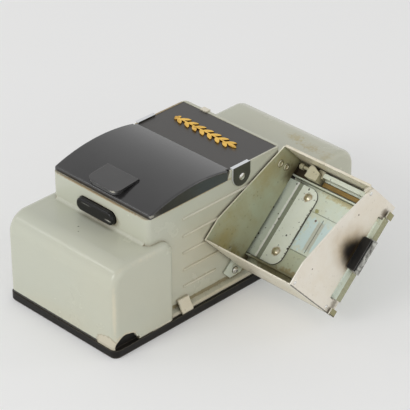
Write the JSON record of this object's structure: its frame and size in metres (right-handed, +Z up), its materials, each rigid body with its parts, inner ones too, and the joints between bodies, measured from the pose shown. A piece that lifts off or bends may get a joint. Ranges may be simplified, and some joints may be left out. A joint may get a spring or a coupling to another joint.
{
  "type": "slide viewer",
  "caption": "Table viewer for mounted slides: moulded case with a hinged lid over a magnifier, switch button, and a tilted metal hopper with a pull-out changer",
  "frame": {"origin": "centre of the foot plate's underside", "axes": "X across the case towards the hopper, Y from the button end to the rear end, Z up"},
  "size_m": [0.1513, 0.189, 0.0794],
  "materials": {
    "cream_moulding": "glossy, yellowed at the edges",
    "black_moulding": "polished",
    "black_foot": "satin, scuffed",
    "cover_sheet": "satin",
    "gilt": "polished",
    "chrome": "bright",
    "nickel_sheet": "satin nickel plate",
    "zinc_sheet": "passivated zinc plate",
    "bronze_sheet": "tarnished",
    "contact_brass": "bright",
    "clear_glass": "polished",
    "opal_sheet": "opal"
  },
  "bodies": {
    "case": {"base_plate": "black_foot", "body_shell": "cream_moulding", "rear_cover": "cover_sheet", "gold_sprig": "gilt", "hinge_ears": "chrome", "hinge_rivets": "chrome", "switch_housing": "black_foot", "switch_blades": "contact_brass", "side_bracket": "zinc_sheet", "bracket_screw": "chrome", "base_catches": "nickel_sheet", "rear_catch": "nickel_sheet", "hopper_inner_plate": "nickel_sheet", "hopper_outer_plate": "nickel_sheet", "hopper_front_wall": "nickel_sheet", "hopper_top_wall": "nickel_sheet", "hopper_rivets": "chrome", "hopper_bed": "zinc_sheet", "corner_pad": "black_foot", "upper_guide": "zinc_sheet", "bronze_strip": "bronze_sheet", "stop_block": "zinc_sheet", "slide_gate": "black_foot", "diffuser": "opal_sheet", "reflector": "nickel_sheet", "lamp_bulb": "clear_glass", "lamp_cap": "contact_brass", "lamp_holder": "black_foot", "lens": "clear_glass", "lens_frame": "black_foot", "cell_springs": "contact_brass", "cell_top_strip": "contact_brass"},
    "lid": {"front_lid": "black_moulding", "lid_tab": "black_moulding", "lid_arms": "zinc_sheet"},
    "changer": {"changer_plate": "zinc_sheet", "pusher_blade": "zinc_sheet", "blade_rivets": "contact_brass", "pull_knob": "black_moulding", "knob_clip": "chrome"},
    "button": {"switch_button": "black_moulding"}
  },
  "joints": [
    {"name": "lid_hinge", "type": "hinge", "parent": "case", "child": "lid", "pos_m": [0, 0.0059, 0.0694], "axis": [-1, 0, 0], "range_deg": [0, 95]},
    {"name": "changer_slide", "type": "slide", "parent": "case", "child": "changer", "axis": [1, 0, 0], "range_m": [0, 0.064]},
    {"name": "switch_press", "type": "slide", "parent": "case", "child": "button", "axis": [0, 1, 0], "range_m": [0, 0.002], "stiffness_N_per_m": 300}
  ]
}
